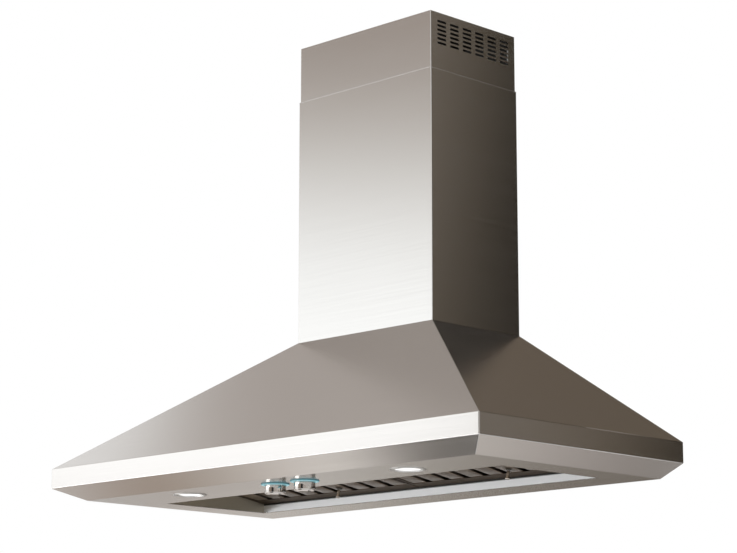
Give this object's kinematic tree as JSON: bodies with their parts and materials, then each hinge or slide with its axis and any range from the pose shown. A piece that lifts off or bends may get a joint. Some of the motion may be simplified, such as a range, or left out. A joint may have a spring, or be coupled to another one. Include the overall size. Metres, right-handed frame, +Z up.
{
  "type": "chimney range hood",
  "caption": "Wall-mounted chimney range hood: sloped brushed-steel canopy with baffle filters, lamps and knobs, telescopic rectangular chimney.",
  "frame": {"origin": "centre of the wall bolt pattern, on the back panel's rear face", "axes": "+Z up, +Y towards the wall, +X to the right when the hood is seen from the front"},
  "size_m": [1.219, 0.59, 0.998],
  "materials": {
    "canopy_steel": "brushed",
    "chimney_steel": "brushed",
    "underside_steel": "brushed",
    "bay_steel": "satin",
    "baffle_steel": "satin",
    "galvanised": "galvanised",
    "zinc_screws": "zinc plated",
    "knob_chrome": "polished",
    "ring_light": "translucent, lit",
    "lens": "frosted, lit",
    "lamp_metal": "satin",
    "motor_paint": "satin black",
    "shaft_steel": "ground",
    "black_plastic": "moulded",
    "grey_plastic": "moulded",
    "circuit_board": "soldermask",
    "capacitor_can": "smooth",
    "pull_metal": "turned"
  },
  "bodies": {
    "canopy": {"blower_screws": "zinc_screws", "blower_scroll": "galvanised", "blower_side_left": "galvanised", "blower_side_right": "galvanised", "cable_gland": "black_plastic", "cable_gland_nut": "black_plastic", "canopy_back_panel": "galvanised", "canopy_shell": "canopy_steel", "canopy_top_plate": "galvanised", "capacitor": "capacitor_can", "capacitor_clip": "galvanised", "chimney_lower_cover": "chimney_steel", "control_board": "circuit_board", "control_box": "galvanised", "damper_pin": "shaft_steel", "duct_collar": "galvanised", "fan_knob_ring": "ring_light", "fan_switch": "black_plastic", "filter_bay_frame": "bay_steel", "filter_clips": "bay_steel", "inlet_ring_left": "galvanised", "inlet_ring_right": "galvanised", "junction_box": "grey_plastic", "junction_box_cover": "grey_plastic", "junction_box_screws": "zinc_screws", "lamp_led_boards": "circuit_board", "lamp_left_bezel": "lamp_metal", "lamp_left_housing": "lamp_metal", "lamp_left_lens": "lens", "lamp_right_bezel": "lamp_metal", "lamp_right_housing": "lamp_metal", "lamp_right_lens": "lens", "light_knob_ring": "ring_light", "light_switch": "black_plastic", "lower_cover_screws": "zinc_screws", "m4_screws": "zinc_screws", "motor": "motor_paint", "motor_bracket": "galvanised", "terminal_block": "grey_plastic", "underside_panel": "underside_steel", "wall_mount_plate": "galvanised"},
    "upper_chimney": {"chimney_upper_cover": "chimney_steel", "ceiling_bracket": "galvanised", "ceiling_bracket_screws": "zinc_screws"},
    "light_control": {"light_knob": "knob_chrome", "light_spindle": "shaft_steel"},
    "fan_control": {"fan_knob": "knob_chrome", "fan_spindle": "shaft_steel"},
    "left_filter": {"filter_left_frame": "baffle_steel", "filter_left_lower_baffles": "baffle_steel", "filter_left_upper_baffles": "baffle_steel", "filter_left_pull_knob": "pull_metal"},
    "right_filter": {"filter_right_frame": "baffle_steel", "filter_right_lower_baffles": "baffle_steel", "filter_right_upper_baffles": "baffle_steel", "filter_right_pull_knob": "pull_metal"},
    "rotor": {"impeller": "galvanised", "motor_shaft": "shaft_steel"},
    "left_damper": {"damper_flap_left": "galvanised"},
    "right_damper": {"damper_flap_right": "galvanised"}
  },
  "joints": [
    {"name": "upper_chimney_slide", "type": "slide", "parent": "canopy", "child": "upper_chimney", "axis": [0, 0, 1], "range_m": [-0.11, 0.3]},
    {"name": "light_knob_turn", "type": "hinge", "parent": "canopy", "child": "light_control", "pos_m": [-0.042, -0.47, -0.185], "axis": [0, 0, 1], "range_deg": [0, 90]},
    {"name": "fan_knob_turn", "type": "hinge", "parent": "canopy", "child": "fan_control", "pos_m": [0.042, -0.47, -0.185], "axis": [0, 0, 1], "range_deg": [0, 135]},
    {"name": "left_filter_swing", "type": "hinge", "parent": "canopy", "child": "left_filter", "pos_m": [-0.239, -0.37442, -0.11762], "axis": [-1, 0, 0], "range_deg": [0, 60]},
    {"name": "right_filter_swing", "type": "hinge", "parent": "canopy", "child": "right_filter", "pos_m": [0.239, -0.37442, -0.11762], "axis": [-1, 0, 0], "range_deg": [0, 60]},
    {"name": "impeller_spin", "type": "hinge", "parent": "canopy", "child": "rotor", "pos_m": [0, -0.1985, 0.0018], "axis": [1, 0, 0], "continuous": true},
    {"name": "left_damper_swing", "type": "hinge", "parent": "canopy", "child": "left_damper", "pos_m": [0, -0.1325, 0.163], "axis": [0, 1, 0], "range_deg": [0, 75]},
    {"name": "right_damper_swing", "type": "hinge", "parent": "canopy", "child": "right_damper", "pos_m": [0, -0.1325, 0.163], "axis": [0, -1, 0], "range_deg": [0, 75]}
  ]
}
